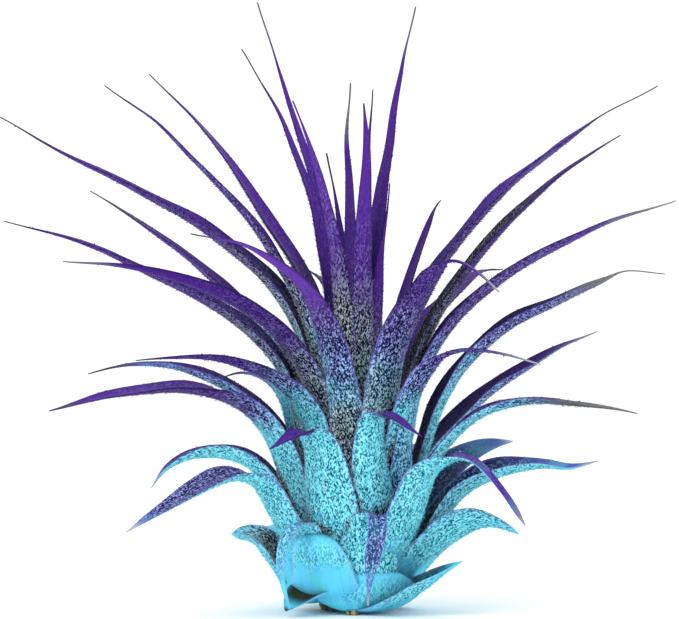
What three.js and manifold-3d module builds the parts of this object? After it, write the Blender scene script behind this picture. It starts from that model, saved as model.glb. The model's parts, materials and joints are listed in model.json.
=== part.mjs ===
// A small air plant: a rosette of channelled, tapering leaves on a short stem, set down on its base.
// Millimetres, +Z up. The origin is the middle of the stem's flat foot; -Y faces the viewer.
import * as THREE from "three";
import { mergeVertices } from "three/addons/utils/BufferGeometryUtils.js";
import Module from "manifold-3d";

const wasm = await Module();
wasm.setup();

// Stem
const STEM_HEIGHT = 22;
const STEM_FOOT_RADIUS = 5;
const STEM_BELLY_RADIUS = 6.6;
const STEM_BELLY_HEIGHT = 5;
const STEM_TOP_RADIUS = 1.1;

// Leaves
const TIP_WIDTH = 0.62;
const TIP_THICKNESS = 0.6;
const BLADE_THICKNESS = 0.85;
const OUTER_ROOT_THICKNESS = 0.95;
const INNER_ROOT_THICKNESS = 0.65;
const OUTER_ROOT_SHARE = 0.9;
const INNER_ROOT_SHARE = 0.3;
const FULLNESS = 1.5;
const CHANNEL_AT_BASE = 0.3;
const CHANNEL_AT_MIDDLE = 0.42;
const CHANNEL_AT_TIP = 0.15;
const STATIONS_PER_MM = 0.138;
const FEWEST_STATIONS = 7;
const MOST_STATIONS = 13;

// Room kept between neighbours
const GAP = 0.3;

// Root stubs
const STUB_RADIUS = 0.32;

const CYAN = 0x6fcdf5;
const BLUE = 0x8b9fe8;
const VIOLET = 0x5a35a8;
const BROWN = 0x8a7257;
const STEM_GREEN = 0x4d6a5a;

// Each leaf: name, heading round the stem in degrees (0 is right, 90 is away from the viewer), height of
// its root, full width, how fast it tapers, colour, and the points of its midrib as out, up and side.
// Then, where a leaf has them: roll, the degrees by which it turns its underside to the viewer; twist, the
// degrees more that it has turned by its tip; fold, how much deeper than usual its channel is; strand, the
// share of its length from which it is a thin strand, and the width of that strand.
// The list runs from the outermost leaves to the innermost: a leaf gives way to those before it.
const LEAVES = [
  ["sheath_front_low", -74, 1.4, 17, 0.32, CYAN,
    [[9, 1.1], [11.2, 3], [12.4, 5.4], [12.6, 7.6]]],
  ["sheath_boat_left", -132, 1.8, 9, 0.7, CYAN,
    [[9.2, 3.2, 1.6], [12.6, 3.4, 2], [15.6, 2.5, 2], [18, 1.2, 1.8]], { roll: -4 }],
  ["sheath_boat_right", -38, 1.6, 12, 0.7, CYAN,
    [[10, 2.4, -3], [14.6, 4.3, -2.2], [18.8, 6.7, -1.4], [22.7, 8.8, -0.7]], { roll: -20 }],
  ["sheath_back", 92, 1.8, 12, 0.6, CYAN,
    [[9.4, 1.4], [12.8, 2.2], [15.4, 4.8], [17, 8.4]]],
  ["sheath_right", 26, 2, 10.4, 0.5, CYAN,
    [[9.8, 2], [11.6, 4.2], [12.6, 7], [13, 9.2]]],
  ["sheath_dome", -110, 3, 12, 0.35, CYAN,
    [[11.8, 3.6, -0.4], [14.6, 8, -0.4], [15.8, 11.4, -0.2], [14.4, 13.3]]],
  ["leaf_hanging_front", -79, 3.4, 10.4, 1.35, CYAN,
    [[11.6, 6], [13.2, 10.8, 0.1], [14.8, 14.9, 0.3], [17.4, 16.4, 0.3], [20, 14.8, -0.1],
      [21.2, 9.6, -0.9], [21.2, 2.4, -1.7]], { strand: [0.5, 3.2] }],
  ["leaf_hanging_left", -128, 4, 3.3, 0.8, CYAN,
    [[12.2, 9.6, 3.1], [15.6, 14.6, 3.1], [20.4, 13.2, 3.2], [22.6, 8.5, 3.6], [22, 1.4, 4.6]]],
  ["sheath_left", -152, 2.2, 11, 0.45, CYAN,
    [[9.8, 2.6], [11.8, 6.2], [12.6, 10], [13, 12.6]]],
  ["leaf_low_left", 178, 3, 13, 0.32, CYAN,
    [[10, 5.5], [13, 9.1], [16, 12], [20, 12.5]], { roll: -18 }],
  ["leaf_low_right_1", -24, 3.4, 11.6, 0.42, CYAN,
    [[10.6, 6.8], [15.7, 11.6], [19, 13.9], [22.4, 15], [25.6, 14.5], [28.8, 12.9]],
    { roll: 10, twist: 12 }],
  ["leaf_low_right_2", -4, 4.6, 11.6, 0.85, CYAN,
    [[11, 9.4], [13.6, 14.2], [16.2, 17.8], [19.8, 21], [24.4, 23.1], [31, 23.8], [35.9, 23.4],
      [40.4, 24.5]], { roll: -8, fold: 1.5 }],
  ["leaf_low_back", 136, 3.6, 9, 0.75, CYAN,
    [[10.2, 6.6], [13.6, 10.4], [18.2, 12.6], [23.4, 12]]],
  ["leaf_front_short", -97, 4.6, 9, 0.35, CYAN,
    [[10.8, 8], [12.2, 12], [13, 15], [13, 16.8]]],
  ["leaf_arching_right", -46, 5.4, 10.6, 0.9, CYAN,
    [[12.6, 11.2, -1.8], [16.8, 17.6, -3], [20.6, 23, -3.6], [25.4, 25.4, -3.8], [31, 24.7, -3.6],
      [36.5, 20.4, -3], [40.4, 15.7, -2.6]], { roll: -8, strand: [0.62, 2] }],
  ["leaf_arching_left", -140, 4.8, 10.8, 0.95, CYAN,
    [[11.4, 10.4], [15.6, 16.2], [19.6, 21.2], [24.6, 22.6], [32.2, 20.3], [38.4, 17.6], [45, 14.2]],
    { roll: -12 }],
  ["leaf_low_arch_left", 174, 5.4, 10, 0.75, CYAN,
    [[11.2, 17], [14.8, 22.6], [19.4, 25.4], [25.4, 25.4], [30.4, 22.9], [33.2, 19.4]],
    { roll: 6, twist: -16, fold: 1.5 }],
  ["leaf_right_short", 34, 4.8, 8.4, 0.65, CYAN,
    [[11, 12], [15.6, 19.3], [20.6, 23.2], [25.2, 25.4], [29.1, 26.6], [33, 27]], { roll: -22 }],
  ["leaf_back_1", 66, 5, 8, 0.9, CYAN,
    [[11, 11], [14.4, 18.4], [20.6, 24], [29, 26.4]]],
  ["leaf_back_2", 104, 5.4, 8, 0.9, CYAN,
    [[11.2, 12.6], [15, 20.8], [21.6, 26.8], [30, 29]]],
  ["leaf_front_left", -119, 6.4, 10.2, 1.05, CYAN,
    [[12.4, 14, 3.1], [14.2, 21.4, 2.9], [15.6, 27, 2.6], [18, 29.3, 2.2], [22.2, 28.6, 1.6],
      [28.4, 26.8, 1.1]]],
  ["leaf_front_right", -70, 6.6, 7.8, 0.95, CYAN,
    [[12.4, 14, -0.8], [13.9, 22, -1.6], [14.8, 28.6, -2.2], [17, 31.8, -2.4], [21.2, 32, -1.3],
      [27.3, 29, 1.4]]],
  ["leaf_right_1", -14, 6.4, 8.2, 1.1, CYAN,
    [[11.8, 21.6], [15.8, 27.4], [21.6, 32.5], [28.2, 34], [36.5, 33.9], [47, 32.1]], { roll: -9 }],
  ["leaf_left_1", -166, 6.6, 10.2, 0.95, CYAN,
    [[10.6, 21.4], [13.4, 28.3], [18.8, 33.9], [27.9, 36.1], [38.5, 35.1], [49.6, 32.7]],
    { roll: 10, twist: -30 }],
  ["leaf_left_2", 164, 7, 7, 0.95, BLUE,
    [[10.4, 23], [13, 29], [16.4, 32.8], [20.6, 35.9], [25.4, 38.3], [31.5, 40], [38.6, 40.3],
      [46, 38.6]], { twist: -8, fold: 1.5 }],
  ["leaf_right_2", 28, 7, 6.4, 1, BLUE,
    [[13, 23.6], [17.8, 28.8], [24.8, 34.6], [32.4, 39.3], [40.2, 43.3], [47.8, 45.8]],
    { roll: 6, twist: -12, fold: 1.6 }],
  ["leaf_right_front", -36, 8, 7, 1, BLUE,
    [[11.6, 26.2, -3.2], [14.8, 34.6, -4.2], [19.8, 40.2, -5.6], [26, 42.3, -7], [33, 41.9, -8.4],
      [42.4, 39.5, -10.1]], { strand: [0.62, 1.2] }],
  ["leaf_front_blue", -50, 7.6, 5.4, 0.6, BLUE,
    [[11.2, 18], [13.4, 24, -0.9], [14, 28, -1.5], [14.2, 31.4, -1.8]]],
  ["leaf_left_3", -152, 8, 7.4, 1.2, BLUE,
    [[6.7, 28], [9.4, 33.5], [14.7, 38.1], [20.4, 40.1], [27.5, 41.2], [38.8, 40.4]], { roll: 8 }],
  ["leaf_left_4", 140, 7.6, 5.4, 0.9, BLUE,
    [[11.2, 25.5], [13.4, 32.5], [17.6, 37], [23.5, 39], [27.9, 38.1]]],
  ["leaf_back_3", 84, 8, 6, 0.95, BLUE,
    [[10, 25], [14.4, 32], [20.6, 37.4], [28, 40.4]]],
  ["leaf_right_3", 17, 8.4, 6.8, 0.65, BLUE,
    [[12.6, 27], [14.8, 33.2], [18.2, 38.8], [22.4, 43], [29.3, 47.6], [36.5, 50.8], [43.7, 54.1],
      [47.8, 55.9], [55.7, 55.4]], { roll: 8, twist: -12, fold: 1.6, strand: [0.86, 0.55] }],
  ["leaf_big_left", -118, 9, 7.1, 1.6, BLUE,
    [[7, 20, 2.8], [8.8, 31.1, 3.4], [12.2, 42, 3], [21.1, 51.6, 2.9], [39.6, 58.1, 2], [51.8, 59, 0.5]]],
  ["leaf_big_right", -55, 9.4, 7.9, 0.75, BLUE,
    [[8.4, 20, -0.6], [10.4, 33, -1.2], [13.2, 43, -1], [18.4, 50.2, -0.3], [25.8, 55.2, -1.3],
      [34.6, 55.3, -3.4], [46, 50.8, -6]], { strand: [0.72, 0.9] }],
  ["leaf_right_4", 2, 10, 7.8, 0.75, BLUE,
    [[8.8, 27], [11, 37.5], [15.7, 46.1], [23.9, 53.9], [38.1, 61.5], [45.8, 64.8], [53.5, 67]],
    { fold: 1.3 }],
  ["leaf_right_5", 24, 11, 6.4, 1.1, BLUE,
    [[8, 28], [11, 39.6], [19.5, 54.3], [33.1, 67.6], [38.6, 72.3], [44.9, 76.4], [50.4, 79.4]],
    { roll: 12, twist: -14, fold: 1.6 }],
  ["leaf_right_behind", 52, 11, 6.4, 0.75, BLUE,
    [[9, 30], [13, 39], [20, 46.9], [29.3, 52.8], [36.7, 56.3], [43.8, 56.8]]],
  ["leaf_upper_left_1", 172, 11, 7.4, 1.15, BLUE,
    [[8, 28], [11.4, 39.2], [20.3, 48.3], [33.4, 55.3], [44.4, 60], [58.7, 64.1]],
    { roll: -2, twist: -4, fold: 1.5 }],
  ["leaf_upper_left_2", -152, 12, 7, 0.7, BLUE,
    [[5.6, 28], [7.2, 36.5], [12.8, 44.3], [21, 50], [35.1, 54.5], [51, 55.9]], { roll: 5 }],
  ["leaf_upper_left_3", 148, 12, 6.4, 1.1, VIOLET,
    [[7.4, 30], [10.4, 39.2], [17.6, 46.4], [29.1, 55.6], [43.2, 64.8], [53.8, 70.4]],
    { roll: 14, twist: -12, fold: 1.5 }],
  ["leaf_upper_left_4", 159, 13, 6.8, 1.1, VIOLET,
    [[6, 32], [8.2, 43.6], [14.7, 53.8], [28.9, 64.2], [46.2, 73.1], [65.3, 83]], { roll: 2, fold: 1.6 }],
  ["leaf_back_4", 100, 12, 5.8, 1.28, BLUE,
    [[7.6, 30], [10.6, 41], [16, 49.4], [23.6, 55]]],
  ["leaf_upper_right", 12, 13.6, 7, 0.55, VIOLET,
    [[6, 32], [8.8, 46], [15.8, 58.2], [21.6, 64.8], [28.4, 71.3], [40.1, 80.1], [52.4, 86.8]],
    { strand: [0.85, 0.5] }],
  ["leaf_cut", 35, 14, 3, 0.3, VIOLET,
    [[5.6, 32], [8.4, 45.7], [12.2, 54.9], [15.8, 63.1], [17.2, 66.6], [18.2, 67.5]],
    { strand: [0.96, 0.45] }],
  ["leaf_upper_left_5", 167, 14.6, 6.2, 1.15, VIOLET,
    [[4.6, 32], [5.8, 41.4], [10.2, 53.5], [20.4, 67.6], [32, 79.1], [42.4, 86.9]],
    { roll: 12, twist: -8, fold: 1.4 }],
  ["leaf_middle_front_1", -118, 14, 4.1, 1.1, VIOLET,
    [[4.4, 32, 1.2], [6, 44, 1.8], [8.2, 56.2, 1.8], [11.8, 67.4, 1.1], [16.6, 77, 0.4],
      [19.4, 81.6, -0.4]]],
  ["leaf_middle_front_2", -80, 14, 4.6, 0.8, VIOLET,
    [[4.6, 30, 0.2], [6.1, 41.6, 0.3], [8.2, 53.6, 0.3], [11, 67, 0.2], [13, 76.6, -0.2],
      [14.1, 81.4, -0.6]]],
  ["leaf_middle_front_3", -50, 14.4, 5.2, 0.68, BLUE,
    [[3.8, 30, 0.4], [5, 43, 0.5], [6.6, 52.1], [8.4, 59.9, -0.8]]],
  ["leaf_upper_left_6", 150, 15.4, 6, 1.15, VIOLET,
    [[3.8, 32], [5.8, 45.2], [10.2, 55.7], [17.9, 66.7], [27, 78.4], [39.9, 89.8]]],
  ["leaf_young_left", 118, 15, 4.2, 1.22, BLUE,
    [[4.2, 33, -1], [6.6, 45.4, -1.6], [12.5, 53, -2], [21.5, 56.9, -2.2]]],
  ["leaf_upper_left_7", 138, 16.4, 5, 1.5, VIOLET,
    [[2.8, 32], [4, 45], [6, 57], [9.8, 69.4], [15.8, 81.1], [25.4, 93.7]]],
  ["leaf_middle_1", -28, 15.4, 4.2, 1.22, VIOLET,
    [[2.6, 30, 0.4], [3.8, 44, 0.8], [5.2, 55.3, 0], [6.6, 64.2, -0.7], [7.4, 69.4, -1.2]]],
  ["leaf_middle_2", 60, 16.4, 4.7, 1.25, VIOLET,
    [[2.4, 30], [4, 45.4, -0.6], [8.4, 62, 0.2], [13.5, 77.5, 0.4], [18, 91, 0.4], [21.4, 101.2, -0.2]]],
  ["leaf_upper_left_8", 122, 17.4, 5, 1.7, VIOLET,
    [[1.8, 32], [3, 45], [6.6, 58], [12.4, 71.6], [20.6, 86], [25.8, 94.5, 0.2], [30.6, 103]]],
  ["leaf_middle_3", 102, 17, 3.9, 1.5, VIOLET,
    [[2.4, 31, -0.6], [4.8, 45, -0.7], [8.8, 57.5, -0.7], [12, 65.4, -0.1], [14.3, 70.6, 0.3],
      [16.5, 76, 0.7]]],
  ["leaf_middle_4", 22, 17.6, 4.4, 1, VIOLET,
    [[1.9, 31, 1.2], [2.7, 45, 1.8], [3.7, 57, 3], [4.6, 68, 3.8], [5.4, 78, 5.2], [6.1, 86, 6.1]]],
  ["leaf_middle_5", 88, 18, 3.5, 1.1, VIOLET,
    [[1.6, 31], [2.6, 45.2], [5.8, 58, 0.3], [10, 71.6, 0.8], [13, 81.1, 1.1], [15, 87.8, 0.7]]],
];

const STUBS = [
  ["root_1", [[-0.7, -3.2], [-0.75, -7], [-0.7, -10.9]]],
  ["root_2", [[0.5, -3.2], [0.45, -7], [0.3, -11.2]]],
];

function mix(a, b, t) {
  return a + (b - a) * Math.min(1, Math.max(0, t));
}

// The stem's radius at a height above the foot.
function stemRadius(up) {
  if (up < STEM_BELLY_HEIGHT) {
    return mix(STEM_FOOT_RADIUS, STEM_BELLY_RADIUS, up / STEM_BELLY_HEIGHT);
  }
  const t = (up - STEM_BELLY_HEIGHT) / (STEM_HEIGHT - STEM_BELLY_HEIGHT);
  return mix(STEM_BELLY_RADIUS, STEM_TOP_RADIUS, t);
}

// A closed surface from rings of points, with a fan over each end.
function loft(rings) {
  const count = rings[0].length;
  const positions = rings.flat().flatMap((p) => [p.x, p.y, p.z]);
  const faces = [];
  for (let r = 0; r + 1 < rings.length; r += 1) {
    for (let i = 0; i < count; i += 1) {
      const a = r * count + i;
      const b = r * count + ((i + 1) % count);
      faces.push(a, b, b + count, a, b + count, a + count);
    }
  }
  const last = (rings.length - 1) * count;
  const strips = [];
  for (let i = 0; i + 1 < count / 2; i += 1) {
    strips.push([i, i + 1, count - 1 - i], [i + 1, count - 2 - i, count - 1 - i]);
  }
  for (const [a, b, c] of strips) {
    faces.push(a, c, b, last + a, last + b, last + c);
  }
  const geometry = new THREE.BufferGeometry();
  geometry.setAttribute("position", new THREE.Float32BufferAttribute(positions, 3));
  geometry.setIndex(faces);
  return geometry;
}

// One leaf as a closed surface. With swell above nothing it is the room that its neighbours leave to it.
function leafGeometry(row, swell) {
  const [, heading, rootUp, width, taper, , path, turns = {}] = row;
  const { roll = 0, twist = 0, fold = 1, strand } = turns;
  const turn = THREE.MathUtils.degToRad(heading);
  const outward = new THREE.Vector3(Math.cos(turn), Math.sin(turn), 0);
  const sideways = new THREE.Vector3(-Math.sin(turn), Math.cos(turn), 0);
  const place = ([out, up, side = 0]) =>
    new THREE.Vector3(0, 0, up).addScaledVector(outward, out).addScaledVector(sideways, side);
  const rootThickness = mix(OUTER_ROOT_THICKNESS, INNER_ROOT_THICKNESS, rootUp / STEM_HEIGHT);
  const root = [stemRadius(rootUp) + GAP + rootThickness / 2, rootUp];
  const curve = new THREE.CatmullRomCurve3([root, ...path].map(place), false, "centripetal");
  const length = curve.getLength();
  const full = curve.getPoint(1 / path.length);
  const stations = Math.round(mix(FEWEST_STATIONS, MOST_STATIONS, length * STATIONS_PER_MM / MOST_STATIONS));
  const widest = place(root).distanceTo(full) / length;
  const rootShare = mix(OUTER_ROOT_SHARE, INNER_ROOT_SHARE, rootUp / STEM_HEIGHT);

  const rings = [];
  for (let s = 0; s <= stations; s += 1) {
    const t = s / stations;
    const centre = curve.getPointAt(t);
    const along = curve.getTangentAt(t);
    const turned = roll * Math.min(1, t / widest) + twist * THREE.MathUtils.smoothstep(t, 0.3, 1);
    const rolled = THREE.MathUtils.degToRad(turned) * -Math.sign(outward.x);
    const across = sideways.clone().addScaledVector(along, -sideways.dot(along)).normalize();
    across.applyAxisAngle(along, rolled);
    const inward = along.clone().cross(across);
    const free = Math.max(0, (t - widest) / (1 - widest));
    const share = t < widest ? mix(rootShare, 1, t / widest) : (1 - free ** FULLNESS) ** taper;
    const thin = strand ? THREE.MathUtils.smoothstep(t, strand[0] - 0.05, strand[0] + 0.03) : 0;
    const blade = mix(width * share, Math.min(width * share, strand ? strand[1] : width), thin);
    const half = Math.max(TIP_WIDTH, blade) / 2 + swell;
    const thickness = t < widest
      ? mix(rootThickness, BLADE_THICKNESS, t / widest)
      : mix(BLADE_THICKNESS, TIP_THICKNESS, free);
    const channel = fold * (free < 0.5
      ? mix(CHANNEL_AT_BASE, CHANNEL_AT_MIDDLE, free * 2)
      : mix(CHANNEL_AT_MIDDLE, CHANNEL_AT_TIP, free * 2 - 1));
    const section = (u, v) => centre.clone()
      .addScaledVector(across, u * half)
      .addScaledVector(inward, channel * half * (u * u - 0.4) + v * (thickness / 2 + swell));
    const edges = [-1, -0.42, 0.42, 1];
    rings.push([...edges.map((u) => section(u, -1)), ...edges.reverse().map((u) => section(u, 1))]);
  }
  return loft(rings);
}

// The stem: a turned core, widest a little above its flat foot.
function stemGeometry(swell) {
  const heights = [0, 2.5, STEM_BELLY_HEIGHT, 12, STEM_HEIGHT];
  const profile = [
    new THREE.Vector2(0, -swell),
    ...heights.map((up, i) => new THREE.Vector2(stemRadius(up) + swell, up + (i === 0 ? -swell : 0))),
    new THREE.Vector2(0, STEM_HEIGHT + 1 + swell),
  ];
  return new THREE.LatheGeometry(profile, 20).rotateX(Math.PI / 2);
}

// A thin root that leaves the stem low down and runs forward over the ground.
function stubGeometry(path, swell) {
  const bore = STUB_RADIUS + swell;
  const curve = new THREE.CatmullRomCurve3(path.map(([x, y]) => new THREE.Vector3(x, y, STUB_RADIUS)));
  const rings = [];
  for (let s = 0; s <= 4; s += 1) {
    const centre = curve.getPointAt(s / 4);
    rings.push([0, 1, 2, 3, 4, 5].map((i) => {
      const a = (i * Math.PI) / 3;
      return new THREE.Vector3(centre.x + bore * Math.cos(a), centre.y, centre.z + bore * Math.sin(a));
    }));
  }
  return loft(rings);
}

function toSolid(geometry) {
  geometry.deleteAttribute("normal");
  geometry.deleteAttribute("uv");
  const merged = mergeVertices(geometry, 1e-4);
  return new wasm.Manifold(new wasm.Mesh({
    numProp: 3,
    vertProperties: merged.attributes.position.array,
    triVerts: new Uint32Array(merged.index.array),
  }));
}

function toGeometry(solid) {
  const mesh = solid.getMesh();
  const geometry = new THREE.BufferGeometry();
  geometry.setAttribute("position", new THREE.BufferAttribute(mesh.vertProperties, 3));
  geometry.setIndex(new THREE.BufferAttribute(mesh.triVerts, 1));
  return geometry;
}

function biggestBody(solid) {
  return solid.decompose().reduce((best, body) => (body.volume() > best.volume() ? body : best));
}

function material(colour, roughness) {
  return new THREE.MeshStandardMaterial({ color: colour, roughness, metalness: 0 });
}

const plant = new THREE.Group();
plant.name = "air_plant";
const taken = [];

// Adds a piece cut clear of the room of the pieces before it.
function addPiece(name, exact, room, look, heading) {
  let solid = toSolid(exact);
  for (const other of taken) {
    const common = solid.intersect(other);
    if (common.volume() > 0) {
      solid = solid.subtract(other);
    }
  }
  const body = biggestBody(solid);
  const mesh = new THREE.Mesh(toGeometry(body), look);
  mesh.name = name;
  mesh.geometry.rotateZ(-heading);
  mesh.rotation.z = heading;
  plant.add(mesh);
  taken.push(toSolid(room), body);
}

addPiece("stem", stemGeometry(0), stemGeometry(GAP), material(STEM_GREEN, 0.8), 0);
for (const [name, path] of STUBS) {
  addPiece(name, stubGeometry(path, 0), stubGeometry(path, GAP), material(BROWN, 0.85), 0);
}
for (const leaf of LEAVES) {
  const heading = THREE.MathUtils.degToRad(leaf[1]);
  addPiece(leaf[0], leafGeometry(leaf, 0), leafGeometry(leaf, GAP), material(leaf[5], 0.7), heading);
}

export default plant;
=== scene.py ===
import json
import math
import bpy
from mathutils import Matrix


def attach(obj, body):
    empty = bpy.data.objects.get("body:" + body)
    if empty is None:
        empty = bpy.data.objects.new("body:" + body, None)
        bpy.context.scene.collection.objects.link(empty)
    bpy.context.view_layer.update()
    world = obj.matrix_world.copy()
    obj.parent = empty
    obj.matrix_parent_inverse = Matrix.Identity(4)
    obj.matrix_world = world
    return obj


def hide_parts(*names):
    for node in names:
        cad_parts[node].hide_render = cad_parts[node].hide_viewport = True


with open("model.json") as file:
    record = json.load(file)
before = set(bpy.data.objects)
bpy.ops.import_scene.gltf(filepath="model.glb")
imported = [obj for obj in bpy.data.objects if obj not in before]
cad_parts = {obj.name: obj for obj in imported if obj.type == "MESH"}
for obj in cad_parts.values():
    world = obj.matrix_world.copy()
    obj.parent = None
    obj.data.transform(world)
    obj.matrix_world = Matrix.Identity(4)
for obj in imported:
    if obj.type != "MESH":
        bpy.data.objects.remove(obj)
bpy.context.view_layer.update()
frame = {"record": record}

import zlib

import bpy
import numpy as np
from mathutils import Vector, noise
from mathutils.bvhtree import BVHTree

# A dyed air plant: leaves cyan at the base and violet above, under silvery scales.
# Leaf places are in millimetres as out, up and side of the heading, the same as in the solids.
mm = 0.001


def ease(start, end, value):
    share = np.clip((value - start) / (end - start), 0.0, 1.0)
    return share * share * (3.0 - 2.0 * share)


def mix(first, second, share):
    return first + (second - first) * np.clip(share, 0.0, 1.0)


def unit(rows):
    return rows / np.linalg.norm(rows, axis=-1, keepdims=True)


def tone(red, green, blue):
    linear = [(c / 255.0) ** 2.2 for c in (red, green, blue)]
    return (*linear, 1.0)


def setMode(mode):
    bpy.ops.object.mode_set(mode=mode)


def pick(piece):
    if bpy.context.object and bpy.context.object.mode != "OBJECT":
        setMode("OBJECT")
    bpy.ops.object.select_all(action="DESELECT")
    piece.select_set(True)
    bpy.context.view_layer.objects.active = piece


def smoothOut(piece):
    pick(piece)
    modifier = piece.modifiers.new("Subdivision", "SUBSURF")
    modifier.levels = 1
    modifier.render_levels = 1
    bpy.ops.object.modifier_apply(modifier=modifier.name)
    bpy.ops.object.shade_smooth()


def settle(piece, node):
    piece.name = node + "_look"
    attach(piece, "root")
    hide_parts(node)


# Node helpers: each input takes a value or another node's output

def feed(tree, node, inputs):
    for key, value in inputs.items():
        if isinstance(value, bpy.types.NodeSocket):
            tree.links.new(value, node.inputs[key])
        else:
            node.inputs[key].default_value = value


def addNode(tree, kind, inputs=None, **settings):
    node = tree.nodes.new(kind)
    column, row = divmod(len(tree.nodes), 8)
    node.location = (column * 220, row * -260)
    for key, value in settings.items():
        setattr(node, key, value)
    feed(tree, node, inputs or {})
    return node


def newMaterial(name):
    material = bpy.data.materials.new(name)
    material.use_nodes = True
    tree = material.node_tree
    tree.nodes.clear()
    shader = addNode(tree, "ShaderNodeBsdfPrincipled")
    addNode(tree, "ShaderNodeOutputMaterial", {"Surface": shader.outputs["BSDF"]})
    return material, tree, shader


def readShare(tree, name):
    return addNode(tree, "ShaderNodeAttribute", attribute_name=name).outputs["Fac"]


def mixColours(tree, factor, first, second, blend="MIX"):
    inputs = {0: factor, 6: first, 7: second}
    return addNode(tree, "ShaderNodeMix", inputs, data_type="RGBA", blend_type=blend).outputs[2]


def layColours(tree, colour, *layers):
    for factor, over, *blend in layers:
        colour = mixColours(tree, factor, colour, over, *blend)
    return colour


def doMath(tree, operation, *values, clamp=False):
    inputs = dict(enumerate(values))
    return addNode(tree, "ShaderNodeMath", inputs, operation=operation, use_clamp=clamp).outputs[0]


def ramp(tree, factor, stops):
    node = addNode(tree, "ShaderNodeValToRGB", {"Fac": factor})
    elements = node.color_ramp.elements
    while len(elements) < len(stops):
        elements.new(0.5)
    for element, (position, colour) in zip(elements, stops):
        element.position = position
        element.color = colour
    return node.outputs["Color"]


def noiseOn(tree, vector, scale, detail=2.0):
    inputs = {"Vector": vector, "Scale": scale, "Detail": detail}
    return addNode(tree, "ShaderNodeTexNoise", inputs).outputs[0]


def stretch(tree, vector, scale):
    return addNode(tree, "ShaderNodeMapping", {"Vector": vector, "Scale": scale}).outputs[0]


def bumpOf(tree, height, strength, distance):
    inputs = {"Height": height, "Strength": strength, "Distance": distance}
    return addNode(tree, "ShaderNodeBump", inputs).outputs["Normal"]


# Leaf skin: dye that runs from cyan through periwinkle to violet, with dark skin between the scales

# The skin also carries painted shade: where other leaves close it in, on inner faces, over some whole leaves
# and along violet edges
black = (0, 0, 0, 1)
white = (1, 1, 1, 1)
skinForm = {
    "smooth": [(0.0, tone(98, 206, 244)), (0.45, tone(84, 104, 196)),
               (0.8, tone(74, 35, 138)), (1.0, tone(70, 29, 130))],
    "turquoise": tone(92, 216, 226),
    "between": [(0.0, tone(8, 88, 116)), (0.45, tone(12, 14, 62)),
                (0.8, tone(26, 9, 60)), (1.0, tone(30, 10, 66))],
    "scaleTint": [(0.0, tone(122, 244, 255)), (0.45, tone(150, 168, 246)),
                  (0.8, tone(122, 90, 178)), (1.0, tone(94, 62, 152))],
    "glint": tone(208, 242, 255),
    # painted shade: a dark multiply on the skin where other leaves close it in
    "deep": tone(96, 112, 120),
    "glow": tone(118, 70, 186),
    # olive and its dark between the scales: undyed leaf colour at some leaf bases, and undyed colour with
    # painted shade where other leaves close the skin in
    "olive": tone(40, 50, 30),
    "oliveBetween": tone(10, 15, 6),
    "oliveScale": tone(206, 216, 222),
    # navy: painted shade on the inner faces, a darkened copy of the dye
    "navy": [(0.0, tone(6, 42, 58)), (0.5, tone(32, 10, 84))],
    "navyBetween": tone(6, 3, 24),
    # dusk: painted shade that greys and darkens some whole leaves
    "dusk": tone(36, 29, 54),
    "dry": tone(54, 56, 54),
    "dryPale": tone(176, 180, 186),
    # margin: a band along the leaf edges, pale on cyan; on violet a dark band, partly dark edge skin and
    # partly painted shade where the edge turns away
    "margin": [(0.0, tone(150, 186, 236)), (0.5, tone(112, 106, 196)),
               (0.85, tone(26, 12, 60))],
    "warmClouds": [(0.46, black), (0.62, white)],
    "glints": [(0.6, black), (1.0, (0.85, 0.85, 0.85, 1))],
    "ribShades": [(0.3, (0.72, 0.74, 0.8, 1)), (0.62, white)],
    "spikeShades": [(0.0, (0.5, 0.56, 0.66, 1)), (0.5, white)],
    "cloudScale": 0.22,
    "strokeScale": (6.4, 3.0, 5.0),     # on a millimetre across, along and through the leaf
    "ribScale": (3.0, 0.16, 1.0),
    "ribDepth": 0.45,
    "wander": (0.22, -0.11),            # a factor and a shift, and the same below
    "coarsened": (-0.34, -0.2),
    "stroke": (5.0, 0.7),
    "glintByDye": (-0.35, 0.65),
    "coverByDye": (-0.8, 1.5),
    "rim": -0.5,
    "bumpStrength": 0.4,
    "bumpDistance": 0.12 * mm,
}


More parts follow.
